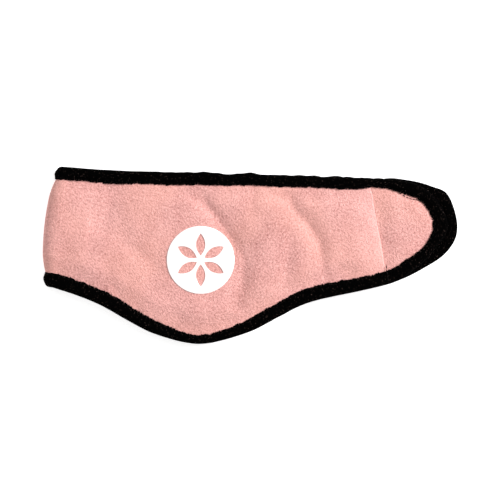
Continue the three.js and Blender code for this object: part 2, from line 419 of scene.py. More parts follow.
def crease(xy, path, depth, west, east):
    """A valley in the cloth along a curve through the path, rounded at the bottom, which recovers
    on each side over its own width, depth * exp(-d / width), and fades out at both ends."""
    line = through(path, per_span=10)
    line = at_lengths(line, np.linspace(0, lengths(line)[-1], 60))
    flat = xy.reshape(-1, 2)
    gap = flat[:, None] - line[None]
    distance = np.hypot(gap[..., 0], gap[..., 1])
    nearest = distance.argmin(axis=1)
    rows = np.arange(len(flat))
    slope = np.gradient(line, axis=0)[nearest]
    side = slope[:, 0] * gap[rows, nearest, 1] - slope[:, 1] * gap[rows, nearest, 0]
    width = np.where(side > 0, east, west)
    fade = np.sin(np.pi * nearest / (len(line) - 1)) ** 0.5
    beyond = np.hypot(distance[rows, nearest], VALLEY) - VALLEY
    return (depth * fade * np.exp(-beyond / width)).reshape(xy.shape[:-1])


# Each crease of the front half: its path from the top down, its depth, and its two widths.
CREASES = [
    ([(-60, 68), (-49, 55), (-38, 42), (-27, 30), (-16, 14), (-9, -2)], 3.6, 6, 5),
    ([(-16, 16), (-8, 4), (-5, -8), (-7, -26), (-12, -42)], 2.6, 9, 9),
    ([(4, 78), (16, 60), (24, 46), (33, 32), (46, 16), (51, 3), (56, -24)], 3.7, 8, 7),
    ([(30, 20), (28, 0), (24, -30)], 1.5, 6, 6),
    ([(18, 56), (17, 42), (12, 26)], 0.5, 4, 4),
    ([(3, 56), (2, 42), (0, 26)], 0.7, 4, 4),
    ([(40, 64), (43, 52), (46, 36)], 0.9, 3, 5),
    ([(-96, 60), (-103, 34), (-107, 14)], 2.6, 14, 16),
    ([(-120, 16), (-97, 11), (-75, -3), (-60, -20)], 1.7, 10, 9),
    ([(-106, 2), (-103, -12), (-96, -36)], 0.8, 5, 5),
    ([(-62, -22), (-58, -36), (-50, -48)], 1.2, 12, 10),
    ([(60, -4), (68, -10), (78, -10)], 0.9, 5, 4),
]


def front_rise(xy):
    """How far the front half's fleece stands over its height under the binding. It eases up from
    the binding to the puff, less the creases, and falls to the seam by exp(-d / reach)."""
    inside = distance_to(xy, front_edge)
    rise = ease((inside - COVERED + 3) / PUFF_SLOPE)
    to_seam = -((xy - seam_top) @ seam_across)
    tab_side = ease((xy[..., 0] - TAB_SIDE_START) / (TAB_SIDE_FULL - TAB_SIDE_START))
    crown = PUFF + TAB_SIDE_PUFF * tab_side
    height = rise * (crown + 0.45 * waves(xy, 48, 3) + 0.16 * waves(xy, 15, 4))
    for path, depth, west, east in CREASES:
        height -= crease(xy, path, depth, west, east) * ease((inside - COVERED + 1) / 9)
    # Small puckers where the stitching gathers the cloth.
    gather = np.exp(-(((inside - COVERED - 1) / 4) ** 2))
    height += 0.3 * gather * waves(xy, 9, 5)
    to_lap = np.exp(-np.clip(to_seam, 0, None) / LAP_REACH)
    return np.maximum(height - LAP_FALL * to_lap * ease((inside - COVERED + 1) / 16), 0)


LOOP_LENGTH = 96.0  # loop tape, back from the rear tab's tip
REAR_PUFF = 0.8


def rear_rise(xy):
    """How far the rear half's fleece hangs under its height at the binding. It lies on the table,
    and it stays flat where the loop tape is sewn on."""
    inside = distance_to(xy, rear_edge)
    past = (xy - seam_top) @ seam_across - (REAR_TAB - LOOP_LENGTH)
    free = ease(-past / 12)
    return (REAR_PUFF + 0.15 * waves(xy, 40, 6)) * ease((inside - COVERED + 2) / 9) * free


def shell(name, outer, inner, material, cloth):
    """A closed sheet: two matching grids of points, joined round their rim. The cloth coordinates
    are kept on each point, in millimetres, for the weave and the pile to follow."""
    rows, columns = outer.shape[:2]
    count = rows * columns
    index = np.arange(count).reshape(rows, columns)
    quads = np.stack(
        [index[:-1, :-1], index[1:, :-1], index[1:, 1:], index[:-1, 1:]], axis=-1
    ).reshape(-1, 4)
    ring = np.concatenate(
        [index[0, :-1], index[:-1, -1], index[-1, :0:-1], index[:0:-1, 0]]
    )
    after = np.roll(ring, -1)
    rim = np.stack([ring, after, after + count, ring + count], axis=-1)
    faces = np.vstack([quads, quads[:, ::-1] + count, rim])
    points = np.concatenate([outer.reshape(-1, 3), inner.reshape(-1, 3)])
    places = np.concatenate([cloth.reshape(-1, 3), cloth.reshape(-1, 3) + (0, 0, 7)])
    return solid(name, points, faces, material, places)


def solid(name, points, faces, material, places=None, smooth=None):
    """A mesh object from points in millimetres, with its faces turned outwards."""
    mesh = bpy.data.meshes.new(name)
    mesh.from_pydata(points * MM, [], faces.tolist() if hasattr(faces, "tolist") else faces)
    if places is not None:
        marks = mesh.attributes.new("cloth", "FLOAT_VECTOR", "POINT")
        marks.data.foreach_set("vector", np.asarray(places, np.float32).ravel())
    shading = np.ones(len(mesh.polygons), bool) if smooth is None else smooth
    mesh.polygons.foreach_set("use_smooth", shading)
    editing = bmesh.new()
    editing.from_mesh(mesh)
    bmesh.ops.recalc_face_normals(editing, faces=editing.faces)
    editing.to_mesh(mesh)
    editing.free()
    mesh.materials.append(material)
    piece = bpy.data.objects.new(name, mesh)
    bpy.context.scene.collection.objects.link(piece)
    return piece


def cloth_places(grid):
    """Cloth coordinates of a grid: the length along its middle, and the place across each row."""
    along = lengths(grid[:, grid.shape[1] // 2])[:, None]
    steps = np.linalg.norm(np.diff(grid, axis=1), axis=2)
    across = np.concatenate([np.zeros((len(grid), 1)), np.cumsum(steps, axis=1)], axis=1)
    across -= across[:, -1:] / 2
    return np.stack([along + 0 * across, across, 0 * across], axis=-1)


def heights(xy, z):
    """Points in the plane with their heights added."""
    return np.concatenate([xy, z[..., None]], axis=-1)


def round_fold(turns, down, rear_z, front_z, reach):
    """The cloth round the fold. At each turn, from 0 on the table to pi on top, a point goes from
    the rear height to the front height by (1 - cos turn) / 2, and out of the fold by
    sin turn times its reach."""
    turns = turns[:, None]
    line = fold_top + down[:, None] * fold_down
    xy = line[None] - np.sin(turns)[..., None] * reach[None, :, None] * fold_across
    z = rear_z + (front_z - rear_z) * (1 - np.cos(turns)) / 2
    return heights(xy, z + 0 * turns)


def folded_panel(columns, edge_inset, thickness, rear_skin, front_skin, proud, bulge, steps):
    """The outer and inner grids of a ply that runs from the rear tip, round the fold, to the seam.
    The skins give the height of its outer face on each half."""
    rear_sides = two_sides(inset_edge(rear_edge, edge_inset))
    rear = ruled(rear_sides, np.linspace(0, 1, REAR_ROWS), columns, 5.0)[::-1]
    front_sides = two_sides(inset_edge(front_edge, edge_inset), seam_top, seam_across, True)
    before_seam = np.linspace(0, SEAM_SHARE, FRONT_ROWS)
    near_seam = np.linspace(SEAM_SHARE, 1, SEAM_ROWS + 1)[1:]
    front = ruled(front_sides, np.append(before_seam, near_seam), columns)
    rear_z, front_z = rear_skin(rear), front_skin(front)
    down = (rear[-1] - fold_top) @ fold_down
    free = ease((np.minimum(down, FOLD_HEIGHT - down) - COVERED + 2.5) / 3)
    share = np.clip((down - COVERED) / (FOLD_HEIGHT - 2 * COVERED), 0, 1)
    out = (proud + bulge * np.sin(np.pi * share) ** 0.7) * free
    turns = np.linspace(0, np.pi, steps + 2)[1:-1]
    grids = []
    for depth in (0.0, thickness):
        low, high = rear_z + depth, front_z - depth
        reach = (high[0] - low[-1]) / 2 + out
        fold = round_fold(turns, down, low[-1], high[0], reach)
        grids.append(np.concatenate([heights(rear, low), fold, heights(front, high)]))
    return grids


fleece_material, fleece = new_material("pink_fleece")
WARM_PINK = (0.765, 0.365, 0.292)
# The pale pink of the painted highlight along the seam's turned edge.
SEAM_HIGHLIGHT_PINK = (0.92, 0.52, 0.49)


def fleece_nodes(start, light, dark):
    """Brushed fleece: the pile clumps into soft pebbles about 2 mm across, with single fibres
    between them, and the dye and the brushing vary slowly over the cloth. A painted highlight
    makes it paler near the seam's turned edge."""
    place = start.node("Attribute", {}, output="Vector", attribute_name="cloth")
    pebble = place.noise(0.7, detail=3.0, roughness=0.6, distortion=0.5)
    fibre = place.noise(2.4, detail=2.0, roughness=0.7, stretch=(1.0, 1.6, 1.0))
    lay = place.noise(0.06, detail=2.0, stretch=(1.0, 0.6, 1.0))
    patch = place.noise(0.022, detail=1.0)
    # Painted shade: the colour is darker in the pebbles' hollows, where the bump is low. The fibres
    # and the slow brushing add the pile's own tone.
    shade = (pebble - 0.5) * 2.4 + (fibre - 0.5) * 1.0 + (lay - 0.5) * 0.6 + 0.56
    shade = shade.clamped()
    painted_seam_highlight = start.node("Attribute", {}, output="Fac", attribute_name="painted_seam_highlight")
    colour = (patch.over(0.35, 0.7) * 0.3).tint(shade.mix(dark, light), WARM_PINK)
    # Painted highlight: mixed towards a paler pink along the seam's turned edge.
    colour = (painted_seam_highlight * 0.32).tint(colour, SEAM_HIGHLIGHT_PINK)
    relief = pebble * 1.3 + fibre * 0.4
    normal = start.node("Bump", {"Strength": 0.8, "Distance": 0.9 * MM, "Height": relief})
    finish_material(
        start,
        {
            "Base Color": colour,
            "Roughness": (1 - shade) * 0.1 + 0.88,
            "Normal": normal,
            "Sheen Weight": 0.22,
            "Sheen Roughness": 0.45,
            "Sheen Tint": (1.0, 0.86, 0.84, 1),
        },
    )


fleece_nodes(fleece, (0.81, 0.422, 0.388), (0.42, 0.167, 0.15))

OUTER_LOW, OUTER_HIGH = 1.2, full_height - 1.2  # the outer face, under the binding


def outer_rear_skin(xy):
    """The height of the panel's outer face on the rear half, which hangs towards the table."""
    return OUTER_LOW - rear_rise(xy)


def outer_front_skin(xy):
    """The panel's outer face. Its last rows turn down in a quarter circle, where the edge is folded
    under at the seam, but not into the lining."""
    skin = OUTER_HIGH + front_rise(xy)
    to_seam = -((xy - seam_top) @ seam_across)
    turned = LAP_TURN * (1 - np.sqrt(1 - (1 - np.clip(to_seam / LAP_TURN, 0, 1)) ** 2))
    return np.maximum(skin - turned, OUTER_HIGH + LAP_LOWEST)


outer_grids = folded_panel(
    88, UNDER_BINDING, PLY, outer_rear_skin, outer_front_skin, FOLD_PROUD, FOLD_BULGE, 20
)
outer_fleece = shell("outer_fleece", *outer_grids, fleece_material, cloth_places(outer_grids[0]))

# Painted highlight: paler fleece towards the seam's turned edge, by exp(-d / reach) on the front
# half.
SEAM_HIGHLIGHT_REACH = 10.0
outer_points = np.concatenate([grid.reshape(-1, 3) for grid in outer_grids])
to_seam = np.clip(-((outer_points[:, :2] - seam_top) @ seam_across), 0, None)
on_front = outer_points[:, 2] > hinge_height
painted_seam_highlight = outer_fleece.data.attributes.new("painted_seam_highlight", "FLOAT", "POINT")
painted_seam_highlight.data.foreach_set("value", (np.exp(-to_seam / SEAM_HIGHLIGHT_REACH) * on_front).astype(np.float32))
(hinge_height + 2.5) * MM
(hinge_height - 2.5) * MM
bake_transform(outer_fleece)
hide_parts("rear_outer_fleece", "fold_outer_fleece", "front_outer_fleece")

# ---- Lining ----
# A thinner ply of the same fleece against the skin, brushed less. It is cut to the same outline
# and lies loose inside the outer panel, held only by the binding.
LINING = 1.2
LINING_LOW = 3.1
lining_material, lining_wire = new_material("lining_fleece")
fleece_nodes(lining_wire, (0.84, 0.43, 0.395), (0.52, 0.22, 0.195))


def lining_rear_skin(xy):
    """The lining's face towards the panel on the rear half, flat but for small waves."""
    return LINING_LOW + 0.06 * waves(xy, 14, 11)


def lining_front_skin(xy):
    """The same face on the front half."""
    return full_height - LINING_LOW + 0.06 * waves(xy, 14, 12)


lining_grids = folded_panel(
    70, UNDER_BINDING, LINING, lining_rear_skin, lining_front_skin, 0.0, 0.0, 14
)
lining = shell("lining_panel", *lining_grids, lining_material, cloth_places(lining_grids[0]))
(hinge_height + 1.1) * MM
(hinge_height - 1.1) * MM
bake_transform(lining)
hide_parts("rear_lining_fleece", "fold_lining_fleece", "front_lining_fleece")

# ---- Tab fleece ----
# The closure tab's own two plies. The outer one starts under the main panel's turned edge, the
# lap seam.
TAB_TUCK = 5.0  # the tab's fleece reaches this far under the panel
TAB_PUFF = 1.5
TAB_PLY = 1.5
LAP_DIP = 1.2  # the tab's fleece is drawn down beside the seam
TUCK_DEPTH, TUCK_START = 0.9, 0.5  # and goes down this far, this far under the panel
LINING_TOP = full_height - LINING_LOW + 0.15


def tab_grid(rows, columns, start):
    """Rows from a line before or past the seam to the tab's tip."""
    origin = seam_top + start * seam_across
    sides = two_sides(inset_edge(front_edge, UNDER_BINDING), origin, seam_across)
    return ruled(sides, np.linspace(0, 1, rows) ** 1.5, columns, 4.0)


def tab_blend(piece):
    """Bakes a piece's placement into its mesh."""
    hinge_height * MM
    hinge_height * MM
    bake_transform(piece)


tab_xy = tab_grid(66, 64, -TAB_TUCK)
from_seam = (tab_xy - seam_top) @ seam_across
tab_inside = distance_to(tab_xy, front_edge)
tab_rise = (TAB_PUFF + 0.15 * waves(tab_xy, 18, 21)) * ease((tab_inside - COVERED + 2) / 10)
dip = np.exp(-((np.clip(from_seam, 0, None) / 8) ** 2)) * ease((tab_inside - COVERED + 1) / 6)
tucked = ease((-from_seam - TUCK_START) / TUCK_DEPTH)
tab_rise = np.maximum(tab_rise - LAP_DIP * dip, 0) * (1 - tucked) - TUCK_DEPTH * tucked
tab_top = heights(tab_xy, OUTER_HIGH + tab_rise)
tab_under = heights(tab_xy, np.maximum(OUTER_HIGH + tab_rise - TAB_PLY, LINING_TOP))
tab_fleece = shell("tab_fleece", tab_top, tab_under, fleece_material, cloth_places(tab_top))
tab_blend(tab_fleece)
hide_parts("tab_outer_fleece")

tab_lining_xy = tab_grid(50, 56, 0.3)
tab_lining_z = full_height - LINING_LOW + 0.05 * waves(tab_lining_xy, 14, 22)
tab_lining_top = heights(tab_lining_xy, tab_lining_z)
tab_lining_under = heights(tab_lining_xy, tab_lining_z - LINING)
tab_lining = shell(
    "tab_lining", tab_lining_top, tab_lining_under, lining_material, cloth_places(tab_lining_top)
)
tab_blend(tab_lining)
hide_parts("tab_lining_fleece")

# ---- Printed disc ----
# A white heat-transfer film on the ear cover, with a rosette of petals left out so that the fleece
# shows through. It is pressed into the pile and follows the cloth.
PRINT_RADIUS = 24.75
PRINT_BELOW_TOP = 68.0
PETALS = 6
PETAL_START = 3.2
PETAL_BOW = 0.42
PRINT_MARGIN = 5.5
FILM = 0.28  # its thickness, with the glue


def rosette(centre, radius, rings=46, steps=22):
    """The film as sectors from petal to petal: (ring, sector, step). At each radius a sector spans
    the angle that the petals on both sides leave free, all of it where there is no petal. A petal's
    side bows out by 2 share (1 - share) of its length, times the bow."""
    tip = radius - PRINT_MARGIN
    reach = np.concatenate(
        [
            np.linspace(0.15, PETAL_START, 5)[:-1],
            np.linspace(PETAL_START, tip, rings),
            np.linspace(tip, radius, 9)[1:],
        ]
    )
    share = np.clip((reach - PETAL_START) / (tip - PETAL_START), 0, 1)
    side = 2 * share * (1 - share) * PETAL_BOW * (tip - PETAL_START)
    lean = np.arctan2(side, reach)[:, None, None]
    sector = 2 * np.pi / PETALS
    start = (np.arange(PETALS) * sector)[None, :, None]
    step = np.linspace(0, 1, steps)[None, None, :]
    turn = start + lean + (sector - 2 * lean) * step
    radius_here = np.hypot(reach, side)[:, None, None] + 0 * turn
    flat = np.where(share[:, None, None] > 0, radius_here, reach[:, None, None] + 0 * turn)
    return centre + np.stack([flat * np.sin(turn), flat * np.cos(turn)], axis=-1)


print_centre = fold_top + (EAR_REACH, -PRINT_BELOW_TOP)
film_xy = rosette(print_centre, PRINT_RADIUS)
rings, sectors, steps = film_xy.shape[:3]
film_index = np.arange(rings * sectors * steps).reshape(rings, sectors, steps)
film_faces = np.stack(
    [
        film_index[:-1, :, :-1],
        film_index[1:, :, :-1],
        film_index[1:, :, 1:],
        film_index[:-1, :, 1:],
    ],
    axis=-1,
).reshape(-1, 4)
film_z = OUTER_HIGH + front_rise(film_xy)
film_points = heights(film_xy, film_z).reshape(-1, 3)
film_centre = np.array([[*print_centre, film_z[0].mean()]])
hub = len(film_points)
inner_ring = film_index[0].ravel()
hub_faces = [[hub, int(a), int(b)] for a, b in zip(inner_ring, np.roll(inner_ring, -1))]
film_points = np.vstack([film_points, film_centre])

film_material, film = new_material("white_print")
film_place = film.node("TexCoord", {}, output="Object")
weave = film_place.noise(620.0, detail=2.0, roughness=0.6)
smudge = film_place.noise(60.0, detail=2.0)
film_shade = ((weave - 0.5) * 0.5 + (smudge - 0.5) * 0.5 + 0.5).clamped()
finish_material(
    film,
    {
        "Base Color": film_shade.mix((0.90, 0.79, 0.78), (0.96, 0.85, 0.84)),
        "Roughness": film_shade * 0.12 + 0.42,
        "Normal": film.node("Bump", {"Strength": 0.25, "Distance": 0.25 * MM, "Height": weave}),
    },
)

film_mesh = bpy.data.meshes.new("print_film")
film_mesh.from_pydata(film_points * MM, [], film_faces.tolist() + hub_faces)
editing = bmesh.new()
editing.from_mesh(film_mesh)
bmesh.ops.remove_doubles(editing, verts=editing.verts, dist=0.01 * MM)
bmesh.ops.recalc_face_normals(editing, faces=editing.faces)
if sum(face.normal.z for face in editing.faces) < 0:
    bmesh.ops.reverse_faces(editing, faces=editing.faces)
editing.to_mesh(film_mesh)
editing.free()
film_mesh.polygons.foreach_set("use_smooth", np.ones(len(film_mesh.polygons), bool))
film_mesh.materials.append(film_material)
print_film = bpy.data.objects.new("print_film", film_mesh)
bpy.context.scene.collection.objects.link(print_film)
thickness = print_film.modifiers.new("film", "SOLIDIFY")
thickness.thickness, thickness.offset = FILM * MM, 1.0
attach(print_film, "front_half")
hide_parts("print_disc")

# ---- Edge binding ----
# A black brushed knit tape, 28 mm wide, folded over the raw edges and sewn down through all the
# layers. It goes round the whole band, and is pressed flatter along its stitching.
TAPE_WIDTH = 9.8
HALF_HEIGHT = 5.5  # over both faces
TAPE = 0.75  # its thickness
NOSE = 2.5  # how far the rounded outer edge reaches in
STITCH_BACK = 1.4  # the stitching, back from the tape's inner edge
STITCH_SINK = 0.55
STITCH_PITCH = 3.3
FOLD_SPREAD = 1.8  # its inner edge stands out this much further at the fold
STEP = 0.36  # between the tape's sections
FOLD_STEPS = 8  # sections in the quarter turn at the fold


def stations(edge):
    """Even steps along a bound edge and a quarter turn round the fold at each end: points,
    directions in, turns, and lengths along."""
    along = np.linspace(0, lengths(edge)[-1], int(lengths(edge)[-1] / STEP))
    base = at_lengths(edge, along)
    into = at_lengths(inward(edge), along, lengths(edge))
    into /= np.linalg.norm(into, axis=1, keepdims=True)
    into[0], into[-1] = fold_down, -fold_down
    turn = np.linspace(np.pi / 2, 0, FOLD_STEPS + 1)[:-1]
    arc = turn * hinge_height
    base, into = [
        np.pad(values, ((FOLD_STEPS, FOLD_STEPS), (0, 0)), mode="edge") for values in (base, into)
    ]
    turns = np.concatenate([turn, 0 * along, turn[::-1]])
    along = np.concatenate([-arc, along, along[-1] + arc[::-1]])
    return base, into, turns, along


def near(points, place, reach):
    """A bell of 1 at a place, exp(-d^2 / reach^2)."""
    return np.exp(-((points - place) ** 2).sum(axis=-1) / reach**2)


front_tip = front_edge[np.argmax(front_edge @ seam_across)]

# The tape's face is widest on the way down to the ear and pulled narrow round its tip, and it is
# narrow again along the top and at the tab's corners. Each change: its place, amount and reach.
WIDTH_CHANGES = [
    (fold_foot + 25 * fold_across, 0.9, 45),
    (seam_foot - 45 * seam_across, 0.9, 26),
    (ear_tip + (3, 0), -3.3, 33),
    (share_between(fold_top, seam_top, 0.7, 0.7), -1.3, 75),
    (seam_top + 5 * seam_across, -2.4, 12),
    (front_tip, 0.9, 8),
    (front_tip + 6 * seam_down, 1.1, 8),
    (seam_foot + 40 * seam_across - 13 * seam_down, -1.9, 15),
]


def tape_width(base):
    """The tape's width plus a bell for each change."""
    changes = [amount * near(base, place, reach) for place, amount, reach in WIDTH_CHANGES]
    return TAPE_WIDTH + sum(changes)


def section(width, count=8):
    """The tape's section at each station, as distances in and heights over the table. It starts at
    the lower leg's inner edge, goes out and round the nose, back along the upper leg, and returns
    inside. Each leg is crowned, dips along the stitching and is rounded off at its inner edge."""
    width = width[:, None]
    leg = np.linspace(0, 1, count)[None]
    inset = NOSE + (width - NOSE) * leg
    to_stitch = inset - (width - STITCH_BACK)
    crown = 0.25 * np.sin(np.pi * np.clip((inset - NOSE) / (width - STITCH_BACK - NOSE), 0, 1))
    sink = STITCH_SINK * np.exp(-((to_stitch / 0.8) ** 2)) - crown
    sink = sink + 0.35 * ease((inset - width + 0.6) / 0.6)
    bend = np.linspace(-np.pi / 2, np.pi / 2, 9)[1:-1][None]
    nose_in = NOSE * (1 - np.cos(bend)) + 0 * width
    nose_up = HALF_HEIGHT / 2 * (1 + np.sin(bend)) + 0 * width
    inner_in = np.concatenate([width - 0.15, width - 3, 0 * width + 3, 0 * width + TAPE], axis=1)
    inner_up = np.array([[1.25, 1.1, TAPE + 0.35, TAPE + 0.9]]) + 0 * width
    x = np.concatenate([inset[:, ::-1], nose_in, inset, inner_in, inner_in[:, ::-1]], axis=1)
    z = np.concatenate(
        [
            sink[:, ::-1],
            nose_up,
            HALF_HEIGHT - sink,
            HALF_HEIGHT - inner_up,
            inner_up[:, ::-1],
        ],
        axis=1,
    )
    return x, z


def tape_place(run, x, z, front):
    """Where a section's points lie: in from the edge and up, then turned round the hinge line. The
    tape stands out a little more at its inner edge, over the cloth's bulge."""
    base, into, turns, _ = run
    radius = hinge_height - z
    sine, cosine = np.sin(turns)[:, None], np.cos(turns)[:, None]
    xy = base[:, None] + x[..., None] * into[:, None]
    spread = FOLD_SPREAD * ease(x / 6)
    xy = xy - (sine * (radius + spread))[..., None] * fold_across
    up = hinge_height - cosine * radius
    return heights(xy, full_height - up if front else up)


seam_from_fold = np.hypot(*(seam_top - fold_top))


def tape_surface(run, seed, front):
    """The tape's points and its even width. The outer edge waves gently, the legs rise and fall a
    little between stitches, and the cut inner edge is uneven."""
    base, _, turns, along = run
    flat = 1 - np.sin(turns)
    line = np.stack([along, 0 * along], axis=1)
    width = tape_width(base) + 0.3 * flat * waves(line, 40, seed + 2)
    ragged = 0.25 * waves(line, 5, seed) + 0.4 * waves(line, 1.7, seed + 1)
    ragged += 0.55 * waves(line, 1.0, seed + 5)
    x, z = section(width + flat * ragged)
    outer = 1 - np.clip(x / width[:, None], 0, 1)
    gathered = ease((along - 60) / 30) * ease((seam_from_fold + 30 - along) / 30)
    sway = (0.1 + 0.8 * gathered) * waves(line, 16, seed + 3) * flat
    x = x - sway[:, None] * outer
    pucker = 0.16 * np.cos(2 * np.pi * along / STITCH_PITCH) * flat
    at_stitch = np.exp(-(((x - width[:, None] + STITCH_BACK) / 1.6) ** 2))
    swell = (0.1 * waves(line, 11, seed + 4) * flat)[:, None] * np.ones_like(x)
    upper = np.clip(z / HALF_HEIGHT, 0, 1)
    z = z + (swell + pucker[:, None] * at_stitch) * (2 * upper - 1)
    if not front:
        z = np.maximum(z, 0.02)
    return tape_place(run, x, z, front), width


def tape_piece(name, points, along, material):
    """One length of tape: its sections joined in a tube, each point to the same point of the next
    section, with flat ends."""
    count, around = points.shape[:2]
    index = np.arange(count * around).reshape(count, around)
    after = np.roll(index, -1, axis=1)
    sides = np.stack([index[:-1], index[1:], after[1:], after[:-1]], axis=-1).reshape(-1, 4)
    faces = sides.tolist() + [index[0].tolist(), index[-1][::-1].tolist()]
    girth = np.linalg.norm(np.roll(points, -1, axis=1) - points, axis=2)
    across = np.cumsum(girth, axis=1) - girth
    places = np.stack([along[:, None] + 0 * across, across, 0 * across], axis=-1)
    smooth = np.ones(len(faces), bool)
    smooth[-2:] = False
    return solid(name, points.reshape(-1, 3), faces, material, places.reshape(-1, 3), smooth)


tape_material, tape = new_material("black_binding")
tape_at = tape.node("Attribute", {}, output="Vector", attribute_name="cloth")
nap = tape_at.noise(1.1, detail=3.0, roughness=0.65)
hair = tape_at.noise(3.2, detail=2.0, stretch=(1.0, 0.5, 1.0))
ribs = tape_at.node(
    "TexWave",
    {"Vector": tape_at, "Scale": 0.42, "Distortion": 1.6, "Detail": 2.0, "Detail Scale": 1.4},
    output="Fac",
    wave_type="BANDS",
    bands_direction="X",
)
lint = tape_at.noise(1.2, detail=1.0, roughness=0.5).over(0.69, 0.73)
wool = (nap * 0.7 + hair * 0.6 - 0.15).clamped()
black = wool.mix((0.0001, 0.0001, 0.0001), (0.0007, 0.0006, 0.0006))
black = (lint * 0.8).tint(black, (0.11, 0.075, 0.065))
finish_material(
    tape,
    {
        "Base Color": black,
        "Roughness": wool * 0.1 + 0.88,
        "Normal": tape.node(
            "Bump",
            {
                "Strength": 0.6,
                "Distance": 0.5 * MM,
                "Height": nap * 0.5 + hair * 0.35 + ribs * 0.18,
            },
        ),
        "Specular IOR Level": 0.008,
        "Sheen Weight": 0.002,
        "Sheen Roughness": 0.5,
    },
)


def fold_blend(piece, rear):
    """Bakes a piece's placement into its mesh. The tape's turn round the fold's hinge line is in
    its
    points: half of it is done where it is furthest out, which is where the rear and the front
    lengths meet."""
    ends = [fold_top, fold_top - full_height * fold_across]
    start, end = ends[::-1] if rear else ends
    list(start * MM)
    hinge_height * MM
    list(end * MM)
    hinge_height * MM
    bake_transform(piece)


CUT_BEFORE_SEAM = 22.0  # the tape divides here, and the tab has a length of its own
rear_run = stations(rear_edge)
front_run = stations(front_edge)
rear_tape, rear_width = tape_surface(rear_run, 31, False)
front_tape, front_width = tape_surface(front_run, 41, True)
past_cut = past_line(front_run[0], seam_top - CUT_BEFORE_SEAM * seam_across, seam_across)
cut_top, cut_bottom = np.flatnonzero(past_cut)[[0, -1]]
spans = {
    "front_top": slice(0, cut_top + 1),
    "tab": slice(cut_top, cut_bottom + 1),
    "front_bottom": slice(cut_bottom, None),
}

rear_binding = tape_piece("rear_binding_tape", rear_tape, rear_run[3], tape_material)
fold_blend(rear_binding, True)
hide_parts("rear_binding")
for place, span in spans.items():
    piece = tape_piece(place + "_binding_tape", front_tape[span], front_run[3][span], tape_material)
    if place == "tab":
        tab_blend(piece)
        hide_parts("tab_binding")
    else:
        fold_blend(piece, False)
        edge_name = place.split("_")[1]
        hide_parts(f"front_{edge_name}_binding", f"fold_{edge_name}_binding")

# ---- Topstitching ----
# Black polyester thread, a lockstitch that holds the binding, sunk a little into the tape. It
# shows on both faces, and on the tab it runs off the tape for a few stitches.
THREAD = 0.21
STITCH_LENGTH = 2.5
STITCH_RINGS, STITCH_SIDES = 5, 6
RUN_OFF, RUN_OFF_REACH = 3.3, 11.0  # how far off the tape, and over what length


def stitch_row(points, ups, length, radius):
    """Stitches along a line, one at each point: a spindle of rings whose radius is
    sqrt(1 - 0.85 t^2) of the thread's, bowed down by t^2 so that both ends go into the cloth."""
    slope = np.gradient(points, axis=0)
    slope /= np.linalg.norm(slope, axis=1, keepdims=True)
    side = np.cross(ups, slope)
    side /= np.linalg.norm(side, axis=1, keepdims=True)
    rise = np.cross(slope, side)
    t = np.linspace(-1, 1, STITCH_RINGS)
    around = np.linspace(0, 2 * np.pi, STITCH_SIDES, endpoint=False)
    fat = radius * np.sqrt(1 - 0.85 * t**2)[None, :, None]
    out = (fat * np.cos(around))[..., None] * side[:, None, None]
    up = fat * np.sin(around) - radius * 1.2 * (t**2)[None, :, None]
    up = up[..., None] * rise[:, None, None]
    on = (length / 2 * t)[None, :, None, None] * slope[:, None, None]
    grid = points[:, None, None] + on + out + up
    count = len(points)
    index = np.arange(grid[..., 0].size).reshape(count, STITCH_RINGS, STITCH_SIDES)
    after = np.roll(index, -1, axis=2)
    sides = np.stack([index[:, :-1], index[:, 1:], after[:, 1:], after[:, :-1]], axis=-1)
    ends = np.concatenate([index[:, 0], index[:, -1, ::-1]])
    return grid.reshape(-1, 3), sides.reshape(-1, 4).tolist() + ends.tolist()


thread_material, thread = new_material("black_thread")
thread_at = thread.node("TexCoord", {}, output="Object")
twist = thread_at.node(
    "TexWave", {"Vector": thread_at, "Scale": 900.0, "Distortion": 1.0}, output="Fac"
)
finish_material(
    thread,
    {
        "Base Color": twist.mix((0.002, 0.0016, 0.0016), (0.007, 0.006, 0.006)),
        "Roughness": twist * 0.15 + 0.65,
        "Normal": thread.node("Bump", {"Strength": 0.4, "Distance": 0.1 * MM, "Height": twist}),
        "Specular IOR Level": 0.06,
    },
)


def tape_stitches(run, width, front, wander=0.0):
    """The stitches of a tape's lower and upper face: their places, ups and lengths along."""
    along = run[3]
    marks = np.arange(along[0] + STITCH_PITCH / 2, along[-1], STITCH_PITCH)
    inset = (width - STITCH_BACK + wander)[:, None]
    rows = []
    for levels in ((STITCH_SINK - 0.1, 1.4), (HALF_HEIGHT - STITCH_SINK + 0.1, 4.1)):
        at, under = [
            at_lengths(tape_place(run, inset, np.full_like(inset, z), front)[:, 0], marks, along)
            for z in levels
        ]
        rows.append((at, at - under, marks))
    return rows


def stitches(name, rows, keep=None):
    """One object with all the stitches of some rows, or those whose length along is kept."""
    points, faces = [], []
    for at, ups, marks in rows:
        chosen = np.ones(len(at), bool) if keep is None else keep(marks)
        grid, quads = stitch_row(at, ups, STITCH_LENGTH, THREAD)
        used = np.repeat(chosen, STITCH_RINGS * STITCH_SIDES)
        new_index = np.cumsum(used) - 1 + sum(len(part) for part in points)
        faces += [[int(new_index[i]) for i in face] for face in quads if used[face[0]]]
        points.append(grid[used])
    return solid(name, np.vstack(points), faces, thread_material)


run_off_place = seam_top + 31 * seam_across + 10 * seam_down
wander = RUN_OFF * near(front_run[0], run_off_place, RUN_OFF_REACH)
rear_stitches = stitches("rear_binding_stitches", tape_stitches(rear_run, rear_width, False))
fold_blend(rear_stitches, True)
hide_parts("rear_binding_topstitch")
front_rows = tape_stitches(front_run, front_width, True, wander)
for place, span in spans.items():
    ends = front_run[3][span][[0, -1]]
    piece = stitches(
        place + "_binding_stitches",
        front_rows,
        lambda marks: (marks >= ends[0]) & (marks < ends[1]),
    )
    if place == "tab":
        tab_blend(piece)
    else:
        fold_blend(piece, False)
    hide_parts(f"{place}_binding_topstitch")

